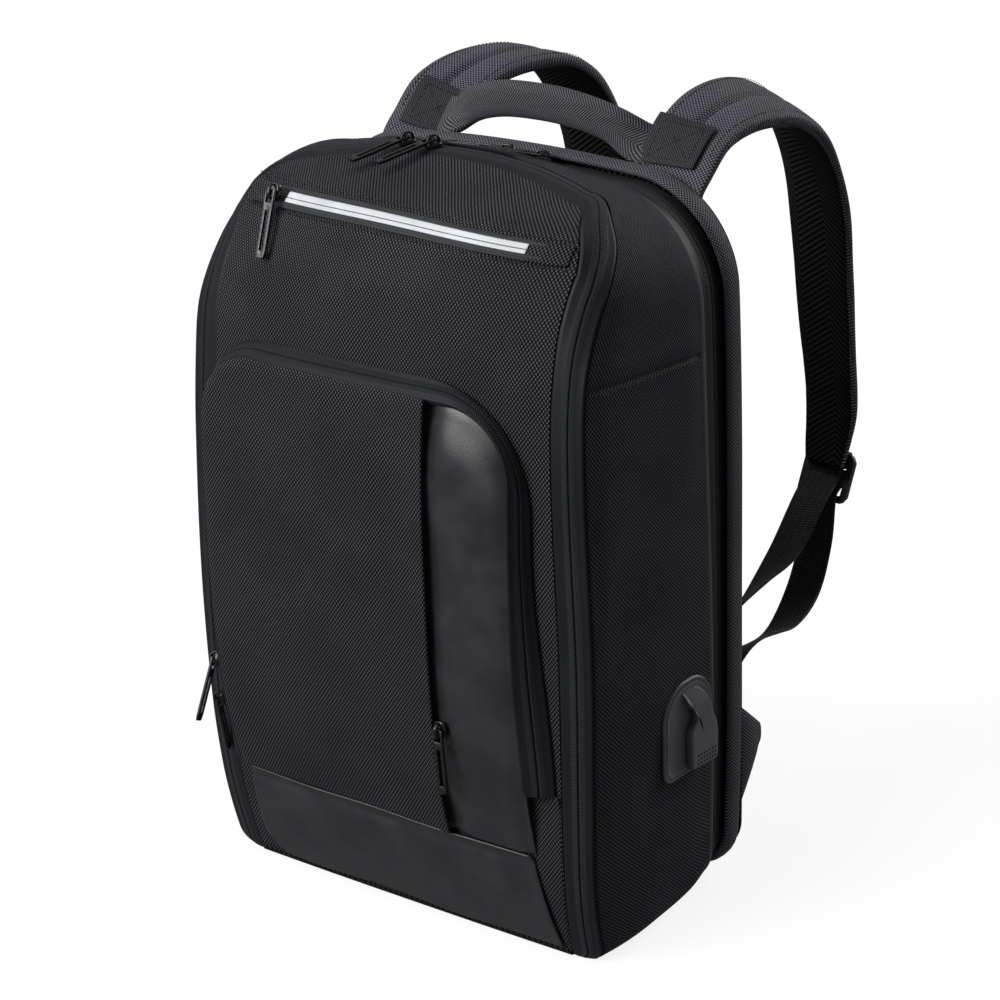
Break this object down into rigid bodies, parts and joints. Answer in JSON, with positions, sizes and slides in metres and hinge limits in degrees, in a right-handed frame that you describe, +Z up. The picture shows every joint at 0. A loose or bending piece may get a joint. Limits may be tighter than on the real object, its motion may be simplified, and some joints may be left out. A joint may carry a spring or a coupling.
{
  "type": "backpack",
  "caption": "Upright soft business backpack standing closed, with a front zip pocket, leather trim, a side charging port, a top handle and two padded straps",
  "frame": {"origin": "centre of the flat underside of the base, on the ground", "axes": "+Z up, +X to the side that carries the charging port, -Y to the front"},
  "size_m": [0.3194, 0.392, 0.4965],
  "materials": {
    "woven_cloth": "matte coarse basket weave",
    "ribbed_cloth": "matte fine rib",
    "zip_tape": "satin woven tape",
    "leather": "smooth satin",
    "reflector": "bright satin strip",
    "rubber": "satin moulded",
    "zip_hardware": "gloss black",
    "buckle_plastic": "semi-gloss moulded",
    "webbing": "matte herringbone"
  },
  "bodies": {
    "root": {"front_panel": "woven_cloth", "front_zip_tape": "zip_tape", "main_gusset": "woven_cloth", "rear_zip_tape": "zip_tape", "back_rim": "ribbed_cloth", "base_panel": "woven_cloth", "back_panel": "ribbed_cloth", "pocket_zip_tape": "zip_tape", "pocket_panel": "woven_cloth", "leather_panel": "leather", "leather_band": "leather", "upper_zip_surround": "zip_tape", "upper_zip_strip": "reflector", "usb_patch": "rubber", "shoulder_strap_right": "ribbed_cloth", "shoulder_strap_left": "ribbed_cloth", "webbing_right": "webbing", "webbing_left": "webbing", "webbing_tail_right": "webbing", "webbing_tail_left": "webbing", "handle": "webbing", "strap_patch_right": "ribbed_cloth", "strap_patch_left": "ribbed_cloth", "strap_buckle_right": "buckle_plastic", "strap_buckle_left": "buckle_plastic", "strap_wing_right": "ribbed_cloth", "strap_wing_left": "ribbed_cloth", "upper_slider": "zip_hardware", "front_a_slider": "zip_hardware", "front_b_slider": "zip_hardware", "rear_a_slider": "zip_hardware", "rear_b_slider": "zip_hardware", "pocket_a_slider": "zip_hardware", "pocket_b_slider": "zip_hardware", "slit_slider": "zip_hardware"},
    "upper_pull": {"upper_pull": "zip_hardware"},
    "front_a_pull": {"front_a_pull": "zip_hardware"},
    "front_b_pull": {"front_b_pull": "zip_hardware"},
    "rear_a_pull": {"rear_a_pull": "zip_hardware"},
    "rear_b_pull": {"rear_b_pull": "zip_hardware"},
    "pocket_a_pull": {"pocket_a_pull": "zip_hardware"},
    "pocket_b_pull": {"pocket_b_pull": "zip_hardware"},
    "slit_pull": {"slit_pull": "zip_hardware"}
  },
  "joints": [
    {"name": "upper_pull_hinge", "type": "hinge", "parent": "root", "child": "upper_pull", "pos_m": [-0.09, -0.06578, 0.45062], "axis": [-0.9987, -0.0025, -0.0499], "range_deg": [0, 140]},
    {"name": "front_a_pull_hinge", "type": "hinge", "parent": "root", "child": "front_a_pull", "pos_m": [-0.04517, 0.00996, 0.47314], "axis": [-0.9438, 0.3303, -0.0139], "range_deg": [0, 140]},
    {"name": "front_b_pull_hinge", "type": "hinge", "parent": "root", "child": "front_b_pull", "pos_m": [-0.02606, 0.01093, 0.47357], "axis": [-0.9439, 0.3304, 0.0007], "range_deg": [0, 140]},
    {"name": "rear_a_pull_hinge", "type": "hinge", "parent": "root", "child": "rear_a_pull", "pos_m": [0.00206, 0.04825, 0.46323], "axis": [-0.1762, 0.9789, -0.1035], "range_deg": [0, 140]},
    {"name": "rear_b_pull_hinge", "type": "hinge", "parent": "root", "child": "rear_b_pull", "pos_m": [0.02818, 0.0482, 0.46282], "axis": [-0.3208, 0.9434, -0.0839], "range_deg": [0, 140]},
    {"name": "pocket_a_pull_hinge", "type": "hinge", "parent": "root", "child": "pocket_a_pull", "pos_m": [-0.13289, -0.09728, 0.14589], "axis": [-0.282, 0.8749, -0.3937], "range_deg": [0, 140]},
    {"name": "pocket_b_pull_hinge", "type": "hinge", "parent": "root", "child": "pocket_b_pull", "pos_m": [-0.13254, -0.09607, 0.11811], "axis": [-0.429, 0.8763, 0.2191], "range_deg": [0, 140]},
    {"name": "slit_pull_hinge", "type": "hinge", "parent": "root", "child": "slit_pull", "pos_m": [0.05553, -0.10852, 0.14879], "axis": [-0.998, -0.0176, -0.0599], "range_deg": [0, 140]}
  ]
}
